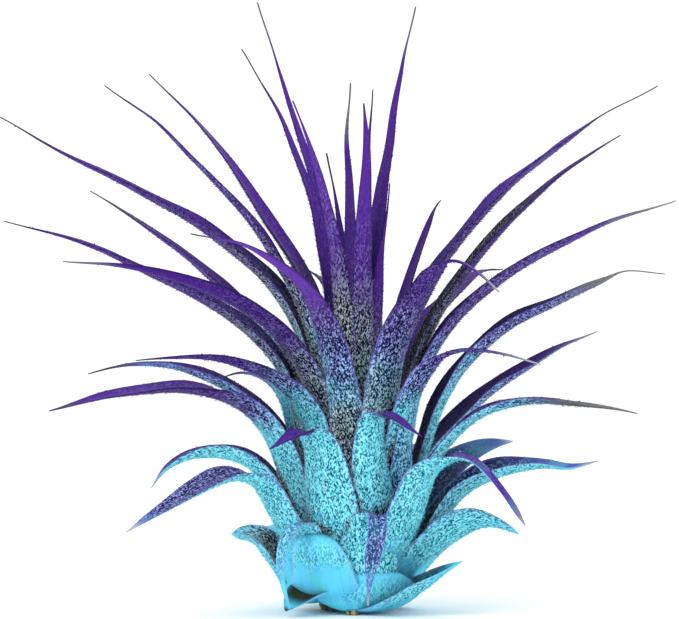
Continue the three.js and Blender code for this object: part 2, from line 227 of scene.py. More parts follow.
def makeLeafSkin(name, roughness):
    material, tree, shader = newMaterial(name)
    look = skinForm
    leafPlace = addNode(tree, "ShaderNodeAttribute", attribute_name="leafPlace").outputs["Vector"]
    cloud = noiseOn(tree, leafPlace, look["cloudScale"], 3.0)
    wander = doMath(tree, "MULTIPLY_ADD", cloud, *look["wander"])
    dye = doMath(tree, "ADD", wander, readShare(tree, "violet"), clamp=True)
    # olive: undyed leaf colour, and painted shade in closed-in places
    olive = readShare(tree, "oliveShare")
    # navy: painted shade on the inner face, darkest towards the base
    navy = readShare(tree, "navyShare")
    warmPart = ramp(tree, cloud, look["warmClouds"])
    warmPart = doMath(tree, "MULTIPLY", warmPart, doMath(tree, "SUBTRACT", 1.0, dye), clamp=True)
    glowing = doMath(tree, "MULTIPLY", readShare(tree, "glow"), dye, clamp=True)
    smooth = layColours(tree, ramp(tree, dye, look["smooth"]),
                        (warmPart, look["turquoise"]), (glowing, look["glow"]), (olive, look["olive"]),
                        (navy, ramp(tree, dye, look["navy"])))
    between = layColours(tree, ramp(tree, dye, look["between"]),
                         (olive, look["oliveBetween"]), (navy, look["navyBetween"]))
    bright = layColours(tree, ramp(tree, dye, look["scaleTint"]),
                        (olive, look["oliveScale"]), (0.2, smooth))

    # Strokes: short flat scales along the leaf, each of its own brightness, with dark skin between them
    strokes = stretch(tree, leafPlace, look["strokeScale"])
    cells = addNode(tree, "ShaderNodeTexVoronoi", {"Vector": strokes, "Scale": 1.0}, feature="F1")
    grain = addNode(tree, "ShaderNodeSeparateColor", {0: cells.outputs["Color"]}).outputs[0]
    coarse = doMath(tree, "MULTIPLY_ADD", readShare(tree, "coarse"), *look["coarsened"])
    rim = doMath(tree, "MULTIPLY_ADD", cells.outputs["Distance"], look["rim"], coarse)
    light = doMath(tree, "ADD", grain, rim)
    light = doMath(tree, "MULTIPLY_ADD", light, *look["stroke"], clamp=True)
    glint = ramp(tree, grain, look["glints"])
    glint = doMath(tree, "MULTIPLY", glint, doMath(tree, "MULTIPLY_ADD", dye, *look["glintByDye"]))
    scaled = mixColours(tree, light, between, mixColours(tree, glint, bright, look["glint"]))
    covered = doMath(tree, "MULTIPLY", readShare(tree, "fuzz"),
                     doMath(tree, "MULTIPLY_ADD", dye, *look["coverByDye"]), clamp=True)

    # Ribs that run along the leaf
    ribs = noiseOn(tree, stretch(tree, leafPlace, look["ribScale"]), 1.0)
    ribShade = ramp(tree, ribs, look["ribShades"])
    dryTone = layColours(tree, look["dry"], (readShare(tree, "paleShare"), look["dryPale"]),
                         (0.6, ribShade, "MULTIPLY"))
    skin = layColours(tree, smooth, (covered, scaled), (look["ribDepth"], ribShade, "MULTIPLY"),
                      # painted shade where other leaves close the skin in
                      (readShare(tree, "deep"), look["deep"], "MULTIPLY"),
                      # painted shade that greys some whole leaves
                      (readShare(tree, "duskShare"), look["dusk"]),
                      # edge band: partly the leaf's own edge colour, partly painted shade
                      (readShare(tree, "marginShare"), ramp(tree, dye, look["margin"])),
                      (readShare(tree, "dryShare"), dryTone))
    relief = doMath(tree, "ADD", ribs, doMath(tree, "MULTIPLY", light, covered))
    feed(tree, shader, {
        "Base Color": skin,
        "Roughness": doMath(tree, "MULTIPLY_ADD", grain, 0.25, roughness),
        "Normal": bumpOf(tree, relief, look["bumpStrength"], look["bumpDistance"]),
        "Sheen Weight": 0.01,
        "Sheen Roughness": 0.5,
        "Specular IOR Level": 0.1,
    })
    return material


def makeScaleSkin(name):
    material, tree, shader = newMaterial(name)
    look = skinForm
    grain = readShare(tree, "grain")
    shade = ramp(tree, grain, look["spikeShades"])
    tint = layColours(tree, ramp(tree, readShare(tree, "violet"), look["scaleTint"]),
                      # olive on the scales: undyed colour and painted shade
                      (readShare(tree, "oliveShare"), look["oliveScale"]),
                      # painted inner-face shade on the scales
                      (doMath(tree, "MULTIPLY", readShare(tree, "navyShare"), 0.7), look["navy"][1][1]),
                      # painted dusk shade on the scales
                      (readShare(tree, "duskShare"), look["dusk"]),
                      (readShare(tree, "dryShare"), look["dry"]), (1.0, shade, "MULTIPLY"))
    rough = doMath(tree, "MULTIPLY_ADD", grain, 0.2, 0.45)
    feed(tree, shader, {"Base Color": tint, "Roughness": rough, "Specular IOR Level": 0.4})
    return material


leafSkins = {
    "leaf_cyan": makeLeafSkin("cyanLeafSkin", 0.5),
    "leaf_blue": makeLeafSkin("blueLeafSkin", 0.52),
    "leaf_violet": makeLeafSkin("violetLeafSkin", 0.48),
}
silverScale = makeScaleSkin("silverScale")
print("leaf materials are ready")


# Silvery scales: small leaning spikes, spread over the leaf by its fuzz

scaleForm = {
    "radius": 0.1,          # millimetres
    "length": 0.5,
    "apart": 0.26,
    "mostPerSquare": 6.0,   # on a square millimetre
    "lean": 0.9,
    "rise": 0.6,
    "scatter": 0.5,
    "flatness": 0.5,
    "smallest": 0.65,
    "largest": 1.3,
    "sizeSeeds": (700, 900),
    "grainSeed": 11,
    "mapInset": 0.2,
}


def makeScaleScatter():
    form = scaleForm
    tree = bpy.data.node_groups.new("silverScaleScatter", "GeometryNodeTree")
    tree.interface.new_socket("Leaf", in_out="INPUT", socket_type="NodeSocketGeometry")
    seed = tree.interface.new_socket("Seed", in_out="INPUT", socket_type="NodeSocketInt")
    tree.interface.new_socket("Leaf", in_out="OUTPUT", socket_type="NodeSocketGeometry")
    given = addNode(tree, "NodeGroupInput")

    def named(name, kind="FLOAT"):
        node = addNode(tree, "GeometryNodeInputNamedAttribute", {"Name": name}, data_type=kind)
        return node.outputs["Attribute"]

    def vectorMath(operation, first, second):
        inputs = {0: first, "Scale" if operation == "SCALE" else 1: second}
        return addNode(tree, "ShaderNodeVectorMath", inputs, operation=operation).outputs[0]

    def store(geometry, name, kind, domain, value):
        inputs = {"Geometry": geometry, "Name": name, "Value": value}
        node = addNode(tree, "GeometryNodeStoreNamedAttribute", inputs, data_type=kind, domain=domain)
        return node.outputs["Geometry"]

    def combine(*values):
        return addNode(tree, "ShaderNodeCombineXYZ", dict(enumerate(values))).outputs[0]

    spread = addNode(tree, "GeometryNodeDistributePointsOnFaces", distribute_method="POISSON", inputs={
        "Mesh": given.outputs["Leaf"],
        "Distance Min": form["apart"] * mm,
        "Density Max": form["mostPerSquare"] / mm ** 2,
        "Density Factor": named("fuzz"),
        "Seed": given.outputs["Seed"],
    })

    # Each scale leans toward the tip of the leaf
    jitter = addNode(tree, "FunctionNodeRandomValue", {0: (-1, -1, -1), 1: (1, 1, 1)},
                     data_type="FLOAT_VECTOR")
    rise = vectorMath("SCALE", spread.outputs["Normal"], form["rise"])
    lean = vectorMath("SCALE", named("tipward", "FLOAT_VECTOR"), form["lean"])
    loose = vectorMath("SCALE", jitter.outputs[0], form["scatter"])
    aim = vectorMath("ADD", vectorMath("ADD", rise, lean), loose)
    turn = addNode(tree, "FunctionNodeAlignRotationToVector", {"Vector": aim}, axis="Z")
    flat = addNode(tree, "FunctionNodeAlignRotationToVector",
                   {"Rotation": turn.outputs[0], "Vector": spread.outputs["Normal"]},
                   axis="Y", pivot_axis="Z")
    spike = addNode(tree, "GeometryNodeMeshCone", fill_type="NGON", inputs={
        "Vertices": 3,
        "Radius Top": 0.0,
        "Radius Bottom": form["radius"] * mm,
        "Depth": form["length"] * mm,
    })
    sizes = [addNode(tree, "FunctionNodeRandomValue", data_type="FLOAT",
                     inputs={2: form["smallest"], 3: form["largest"], "Seed": sizeSeed}).outputs[1]
             for sizeSeed in form["sizeSeeds"]]

    # Each scale has a small field of its own in the upper half of the map
    count = addNode(tree, "GeometryNodeAttributeDomainSize", {"Geometry": spread.outputs["Points"]},
                    component="POINTCLOUD")
    index = addNode(tree, "GeometryNodeInputIndex").outputs[0]
    across = doMath(tree, "SQRT", doMath(tree, "MULTIPLY", count.outputs["Point Count"], 2.0))
    across = doMath(tree, "CEIL", across)
    column = doMath(tree, "DIVIDE", doMath(tree, "MODULO", index, across), across)
    row = doMath(tree, "FLOOR", doMath(tree, "DIVIDE", index, across))
    row = doMath(tree, "ADD", doMath(tree, "DIVIDE", row, across), 0.5)
    cell = combine(column, row, doMath(tree, "DIVIDE", 1.0, across))
    points = store(spread.outputs["Points"], "mapCell", "FLOAT_VECTOR", "POINT", cell)
    grain = addNode(tree, "FunctionNodeRandomValue", {"Seed": form["grainSeed"]}, data_type="FLOAT")
    points = store(points, "grain", "FLOAT", "POINT", grain.outputs[1])
    copies = addNode(tree, "GeometryNodeInstanceOnPoints", {
        "Points": points,
        "Instance": spike.outputs["Mesh"],
        "Rotation": flat.outputs[0],
        "Scale": combine(sizes[0], form["flatness"], sizes[1]),
    })
    real = addNode(tree, "GeometryNodeRealizeInstances", {0: copies.outputs[0]})

    # The corners of a scale lie apart in its field, so that none of its faces is without width there
    place = addNode(tree, "ShaderNodeSeparateXYZ", {0: named("mapCell", "FLOAT_VECTOR")})
    corner = doMath(tree, "MODULO", index, 4.0)
    right, high, top = (doMath(tree, "COMPARE", corner, number, 0.1) for number in (1.0, 2.0, 3.0))
    spot = []
    for axis, (topShift, side) in enumerate(((0.4, right), (0.35, high))):
        inset = doMath(tree, "MULTIPLY_ADD", top, topShift, side)
        inset = doMath(tree, "MULTIPLY_ADD", inset, 1.0 - 2.0 * form["mapInset"], form["mapInset"])
        spot.append(doMath(tree, "MULTIPLY_ADD", inset, place.outputs[2], place.outputs[axis]))
    scales = store(real.outputs[0], "mapSpot", "FLOAT_VECTOR", "POINT", combine(*spot))
    scales = store(scales, "OFBake", "FLOAT2", "CORNER", named("mapSpot", "FLOAT_VECTOR"))
    finish = addNode(tree, "GeometryNodeSetMaterial", {"Geometry": scales, "Material": silverScale})
    joined = addNode(tree, "GeometryNodeJoinGeometry", {0: finish.outputs[0]})
    tree.links.new(given.outputs["Leaf"], joined.inputs[0])
    last = joined.outputs[0]
    for name in ("mapCell", "mapSpot", "tipward"):
        inputs = {"Geometry": last, "Name": name}
        last = addNode(tree, "GeometryNodeRemoveAttribute", inputs).outputs["Geometry"]
    addNode(tree, "NodeGroupOutput", {0: last})
    return tree, seed.identifier


scaleScatter, seedSocket = makeScaleScatter()
print("scale scatter is ready")


# Stem: a short core that holds the leaf bases

stemForm = {
    "height": 22.0,
    "footRadius": 5.0,
    "bellyRadius": 6.6,
    "bellyHeight": 5.0,
    "topRadius": 1.1,
    "topSpare": 0.6,
    "roughness": 0.3,
    "footRings": (0.5, 0.6, 0.6, 0.7, 0.7),
    "ringRise": 0.12,
}


def stemRadius(up):
    form = stemForm
    if up < form["bellyHeight"]:
        return mix(form["footRadius"], form["bellyRadius"], up / form["bellyHeight"])
    share = (up - form["bellyHeight"]) / (form["height"] - form["bellyHeight"])
    return mix(form["bellyRadius"], form["topRadius"], share)


# Leaves: a closed grid is laid along a midrib curve, then smoothed and set with scales

leafForm = {
    "tipWidth": 0.32,
    "tipThickness": 0.2,
    "stoutest": 1.3,                  # the thickness on half the width, at most
    "bladeThickness": 0.95,
    "rootThickness": (0.95, 0.65),    # at the foot and at the top of the stem
    "rootShare": (0.9, 0.3),          # of the leaf's width
    "fullness": 1.5,
    "channel": (0.3, 0.42, 0.2),      # its depth at the base, the middle and the tip
    "gap": 0.3,
    "curveSteps": 40,
    "tangentStep": 0.004,
    "freeFrom": (0.2, 0.6),           # shares of the length where a leaf starts to wander
    "swayLength": 11.0,
    "sway": 0.5,
    "swayTurn": 14.0,
    "rippleLength": 4.0,
    "ripple": 0.05,
    "ringPoints": 12,
    "rowLength": 1.25,
    "fewestRows": 14,
    "smoothingGain": 1.045,
    "floorClear": 0.25,
}
dyeForm = {
    "violet": (36.0, 70.0),        # heights in millimetres, down to the next note
    "violetIn": (12.0, 34.0),
    "oliveHeight": (66.0, 50.0),
    # painted crevice shade: it fades out below these heights, near the floor
    "deepHeight": (4.0, 18.0),
    "fuzzHeight": (0.6, 2.0),
    "hiddenHeight": (24.0, 16.0),  # no scales stand low between the leaf bases
    "hiddenRadius": (8.5, 6.5),
    # olive by how closed in a point is: undyed leaf colour and painted shade
    "oliveClosed": (0.5, 0.8),     # how closed in by other leaves, 0 to 1
    # painted crevice shade: by how closed in a point is
    "deepClosed": (0.45, 0.95),
    "fuzzTip": (0.93, 1.0),        # shares of the length
    # painted dusk shade grows from these shares of the length
    "duskFrom": (0.15, 0.4),
    "marginFrom": (0.86, 1.0),     # shares of the half width
    "margin": (0.3, 0.75),         # on cyan and on violet
    "thinned": 0.92,
    "patchSize": 2.6,
}
closedForm = {
    "rays": 12,
    "reach": 16.0,
    "goldenTurn": 2.39996,
    "clear": 0.05,
    "leastWeight": 0.2,
    "farLoss": 0.6,
}
leafDefaults = {
    "roll": 0.0,
    "twist": 0.0,
    "fold": 1.0,              # how much deeper than usual its channel is
    "strand": (2.0, 0.0),     # from this share on the blade is a strand of this width
    "bare": (0.0, 0.05),      # shares of the length: smooth below these on the outer face
    "fuzz": 1.0,
    "fuzzIn": 0.22,           # In at the end of a name: on the inner face
    "fuzzEnd": (0.55, 0.95),
    "violet": None,           # where the outer face turns violet, or else by height
    "most": 1.0,              # how violet it gets
    "violetIn": None,
    "mostIn": 1.0,
    # the dark of the inner face is painted shade
    "navy": (0.25, 0.62),     # where the dark of the inner face ends
    "inside": "navy",
    "olive": 1.0,
    "silver": 0.0,            # undyed silver and olive at the base
    "silverEnd": (0.4, 0.62),
    # dusk and duskIn: painted shade over the leaf and over its inner face
    "dusk": 0.0,
    "duskIn": None,
    "glow": 0.0,              # brighter violet
    "dry": (0.9, 1.0),
    "pale": 0.0,
}


def blade(*place, **look):
    keys = ("heading", "rootUp", "width", "taper", "path")
    return {**leafDefaults, **dict(zip(keys, place)), **look}


def upright(*place, **look):
    return blade(*place, violet=(0.3, 0.5), **look)


def splineThrough(points, steps):
    # Centripetal Catmull-Rom, as the solids use
    rows = [2 * points[0] - points[1], *points, 2 * points[-1] - points[-2]]
    found = []
    shares = np.linspace(0.0, 1.0, steps, endpoint=False)[:, None]
    for before, start, end, after in zip(rows, rows[1:], rows[2:], rows[3:]):
        d0, d1, d2 = (math.sqrt(np.linalg.norm(b - a)) for a, b in
                      ((before, start), (start, end), (end, after)))
        leave = ((start - before) / d0 - (end - before) / (d0 + d1) + (end - start) / d1) * d1
        arrive = ((end - start) / d1 - (after - start) / (d1 + d2) + (after - end) / d2) * d1
        found.append(start + leave * shares + (-3 * start + 3 * end - 2 * leave - arrive) * shares ** 2
                     + (2 * start - 2 * end + leave + arrive) * shares ** 3)
    return np.vstack([*found, points[-1]])


def noiseAlong(travel, seed, height):
    return np.array([noise.noise(Vector((at, seed, height))) for at in travel])


def alongMidrib(row, seed, shares):
    form = leafForm
    turn = math.radians(row["heading"])
    outward = np.array([math.cos(turn), math.sin(turn), 0.0])
    sideways = np.array([-math.sin(turn), math.cos(turn), 0.0])
    rootUp = row["rootUp"]
    upStem = rootUp / stemForm["height"]
    thick = mix(*form["rootThickness"], upStem)
    root = (stemRadius(rootUp) + form["gap"] + thick / 2, rootUp)
    points = [outward * p[0] + sideways * (p[2] if len(p) > 2 else 0.0) + np.array([0, 0, p[1]])
              for p in (root, *row["path"])]
    curve = splineThrough(points, form["curveSteps"])
    steps = np.linalg.norm(np.diff(curve, axis=0), axis=1)
    travelled = np.concatenate([[0.0], np.cumsum(steps)])
    length = travelled[-1]

    def onCurve(at):
        reached = np.clip(at, 0, 1) * length
        return np.column_stack([np.interp(reached, travelled, curve[:, k]) for k in range(3)])

    along = unit(onCurve(shares + form["tangentStep"]) - onCurve(shares - form["tangentStep"]))
    widest = np.linalg.norm(points[1] - points[0]) / length

    # Small slow wanderings of the midrib and of the twist
    freed = ease(*form["freeFrom"], shares)
    sway = np.column_stack([noiseAlong(shares * length / form["swayLength"], seed, axis * 5.3)
                            for axis in range(4)])
    centre = onCurve(shares) + sway[:, :3] * (form["sway"] * freed)[:, None]
    across = unit(sideways - along * (along @ sideways)[:, None])
    hand = -np.sign(outward[0])
    roll = math.radians(row["roll"]) * np.minimum(1.0, shares / widest) * hand
    roll = roll + math.radians(row["twist"]) * ease(0.3, 1.0, shares) * hand
    roll = roll + math.radians(form["swayTurn"]) * sway[:, 3] * freed
    across = (across * np.cos(roll)[:, None]
              + np.cross(along, across) * np.sin(roll)[:, None])
    inward = np.cross(along, across)

    free = np.clip((shares - widest) / (1.0 - widest), 0.0, 1.0)
    growing = mix(mix(*form["rootShare"], upStem), 1.0, shares / widest)
    narrowing = (1.0 - free ** form["fullness"]) ** row["taper"]
    width = row["width"] * np.where(shares < widest, growing, narrowing)
    strandFrom, strandWidth = row["strand"]
    strand = np.minimum(width, strandWidth * (1.0 - 0.5 * free ** 4))
    width = mix(width, strand, ease(strandFrom - 0.05, strandFrom + 0.03, shares))
    ripple = noiseAlong(shares * length / form["rippleLength"], seed, 31.0)
    half = np.maximum(form["tipWidth"], width * (1.0 + form["ripple"] * ripple)) / 2
    thickness = np.where(shares < widest,
                         mix(thick, form["bladeThickness"], shares / widest),
                         mix(form["bladeThickness"], form["tipThickness"], free ** 1.5))
    thickness = np.minimum(thickness, half * form["stoutest"])
    base, middle, tip = form["channel"]
    channel = np.where(free < 0.5, mix(base, middle, free * 2), mix(middle, tip, free * 2 - 1))
    return centre, along, across, inward, half, thickness, channel * row["fold"], length


def writeAttributes(mesh, **given):
    for name, values in given.items():
        kind = "FLOAT_VECTOR" if np.ndim(values) == 2 else "FLOAT"
        layer = mesh.attributes.get(name) or mesh.attributes.new(name, kind, "POINT")
        if np.ndim(values) == 0:
            values = np.full(len(mesh.vertices), float(values))
        layer.data.foreach_set("value" if kind == "FLOAT" else "vector", np.ravel(values))


def readFloats(data, key, width=1):
    values = np.empty(len(data) * width, dtype=np.float32)
    data.foreach_get(key, values)
    return values if width == 1 else values.reshape(-1, width)


def layLeaf(settings, seed):
    length = settings["width"] + sum(math.dist(a[:2], b[:2]) for a, b in
                                     zip(settings["path"], settings["path"][1:]))
    rows = max(leafForm["fewestRows"], round(length / leafForm["rowLength"]))
    bpy.ops.mesh.primitive_grid_add(x_subdivisions=rows + 2, y_subdivisions=leafForm["ringPoints"],
                                    size=1.0, calc_uvs=True)
    leaf = bpy.context.object
    mesh = leaf.data
    flat = readFloats(mesh.vertices, "co", 3)
    row = np.rint((flat[:, 0] + 0.5) * (rows + 2)).astype(int)
    angle = (flat[:, 1] + 0.5) * 2.0 * math.pi
    shares = np.clip((np.arange(rows + 3) - 1) / rows, 0.0, 1.0)
    *parts, length = alongMidrib(settings, seed, shares)
    centre, along, across, inward, half, thickness, channel = (part[row] for part in parts)
    opened = np.where((row == 0) | (row == rows + 2), 0.0, 1.0)      # the grid closes at both ends
    lateral = np.cos(angle) * opened * leafForm["smoothingGain"]
    rise = np.sin(angle) * opened * leafForm["smoothingGain"]
    place = (centre + across * (lateral * half)[:, None]
             + inward * (channel * half * (lateral ** 2 - 0.4) * opened + rise * thickness / 2)[:, None])
    place[:, 2] = np.maximum(place[:, 2], leafForm["floorClear"])
    mesh.vertices.foreach_set("co", np.ravel(place * mm).astype(np.float32))
    share = shares[row]
    writeAttributes(mesh, share=share, facing=rise, lateral=lateral, tipward=along,
                    leafPlace=np.column_stack([lateral * half, share * length, rise * 0.6]))

    # The leaf takes the lower half of its map, and the scales the upper
    layer = mesh.uv_layers[0]
    layer.name = "OFBake"
    spots = readFloats(layer.uv, "vector", 2) * (0.98, 0.47) + (0.01, 0.01)
    layer.uv.foreach_set("vector", np.ravel(spots).astype(np.float32))

    pick(leaf)
    setMode("EDIT")
    bpy.ops.mesh.select_all(action="SELECT")
    bpy.ops.mesh.remove_doubles(threshold=0.000002)
    bpy.ops.mesh.normals_make_consistent(inside=False)
    setMode("OBJECT")
    smoothOut(leaf)
    return leaf


def dyeLeaf(leaf, look):
    mesh, form = leaf.data, dyeForm
    place = readFloats(mesh.vertices, "co", 3) / mm
    share, facing, lateral, closed = (readFloats(mesh.attributes[name].data, "value")
                                      for name in ("share", "facing", "lateral", "closed"))
    inside = ease(-0.3, 0.3, facing)
    height = place[:, 2]
    radius = np.hypot(place[:, 0], place[:, 1])
    patch = np.array([noise.noise(Vector(row) / form["patchSize"]) for row in place])
    patched = share + 0.06 * patch

    if look["violet"]:
        violet = ease(*look["violet"], patched) * look["most"]
    else:
        violet = ease(*form["violet"], height + 3.0 * patch)
    if look["violetIn"]:
        violetIn = ease(*look["violetIn"], share) * look["mostIn"]
    else:
        violetIn = ease(*form["violetIn"], height)
    silver = look["silver"] * (1.0 - ease(*look["silverEnd"], patched))
    # olive where other leaves close the point in: undyed leaf colour and painted shade
    olive = ease(*form["oliveClosed"], closed + 0.12 * patch) * look["olive"]
    olive = np.maximum(olive, silver) * ease(*form["oliveHeight"], height + 4.0 * patch)
    # navy: painted shade on the inner face, darkest towards the base
    navy = inside * (1.0 - ease(*look["navy"], share))
    oliveInside = navy if look["inside"] == "olive" else olive
    if look["inside"] != "navy":
        navy = navy * 0.0
    thin = 1.0 - form["thinned"] * ease(*look["fuzzEnd"], share + 0.05 * patch)
    fuzz = ease(*look["bare"], share + 0.12 * patch) * look["fuzz"] * thin
    fuzz = mix(fuzz, look["fuzzIn"] * thin, inside)
    fuzz = fuzz * (1.0 - ease(*form["fuzzTip"], share)) * ease(*form["fuzzHeight"], height)
    hidden = ease(*form["hiddenHeight"], height) * ease(*form["hiddenRadius"], radius)
    violet = mix(violet, violetIn, inside)
    olive = mix(olive, oliveInside, inside)
    # dusk: painted shade over the leaf and over its inner face
    dusk = look["dusk"]
    if look["duskIn"] is not None:
        dusk = mix(dusk, look["duskIn"], inside)
    writeAttributes(
        mesh, violet=violet, oliveShare=olive, navyShare=navy,
        coarse=np.clip(olive + np.sin(np.pi * np.clip(violet, 0, 1)), 0, 1),
        duskShare=dusk * ease(*form["duskFrom"], share),
        # painted shade in closed-in places, fading out near the floor
        deep=ease(*form["deepClosed"], closed) * ease(*form["deepHeight"], height),
        glow=look["glow"], paleShare=look["pale"],
        # edge band: partly the leaf's own edge colour, partly painted shade
        marginShare=mix(*form["margin"], violet) * ease(*form["marginFrom"], np.abs(lateral)),
        dryShare=ease(*look["dry"], share + 0.02 * patch),
        fuzz=fuzz * (1.0 - hidden))


def finishLeaf(leaf, name, settings, seed, slotName):
    dyeLeaf(leaf, settings)
    leaf.data.materials.append(leafSkins[slotName])
    modifier = leaf.modifiers.new("Scales", "NODES")
    modifier.node_group = scaleScatter
    modifier[seedSocket] = int(seed * 7)
    pick(leaf)
    bpy.ops.object.modifier_apply(modifier=modifier.name)
    for spare in ("share", "facing", "lateral", "closed"):
        leaf.data.attributes.remove(leaf.data.attributes[spare])
    settle(leaf, name)


def layLeaves(rows):
    laid = []
    for name, settings in rows.items():
        seed = zlib.crc32(name.encode()) % 1000 / 7.0
        laid.append((layLeaf(settings, seed), name, settings, seed))
    print(len(laid), "leaves are laid")
    return laid


def measureClosed(laid):
    # The share of rays from each point that meet a leaf within some millimetres
    corners, faces = [], []
    for leaf, *_ in laid:
        start = len(corners)
        corners.extend(vertex.co.copy() for vertex in leaf.data.vertices)
        faces.extend([start + k for k in face.vertices] for face in leaf.data.polygons)
    tree = BVHTree.FromPolygons(corners, faces)
    form = closedForm
    reach = form["reach"] * mm
    rays = []
    for k in range(form["rays"]):
        up = 1.0 - (k + 0.5) / form["rays"]
        flat = math.sqrt(1.0 - up * up)
        turn = k * form["goldenTurn"]
        rays.append((flat * math.cos(turn), flat * math.sin(turn), up, up + form["leastWeight"]))
    total = sum(ray[3] for ray in rays)
    for leaf, *_ in laid:
        found = []
        for vertex in leaf.data.vertices:
            normal = vertex.normal
            side = normal.orthogonal().normalized()
            other = normal.cross(side)
            origin = vertex.co + normal * (form["clear"] * mm)
            met = 0.0
            for a, b, c, weight in rays:
                hit = tree.ray_cast(origin, side * a + other * b + normal * c, reach)
                if hit[0] is not None:
                    met += weight * (1.0 - form["farLoss"] * hit[3] / reach)
            found.append(met / total)
        writeAttributes(leaf.data, closed=np.array(found))
    print("closeness is measured")


def finishLeaves(laid):
    slots = {row["node"]: row["material_slot"] for row in frame["record"]["subparts"]}
    count = 0
    for leaf, name, settings, seed in laid:
        finishLeaf(leaf, name, settings, seed, slots[name])
        leaf.data.calc_loop_triangles()
        count += len(leaf.data.loop_triangles)
    print(len(laid), "leaves are finished,", count, "triangles")


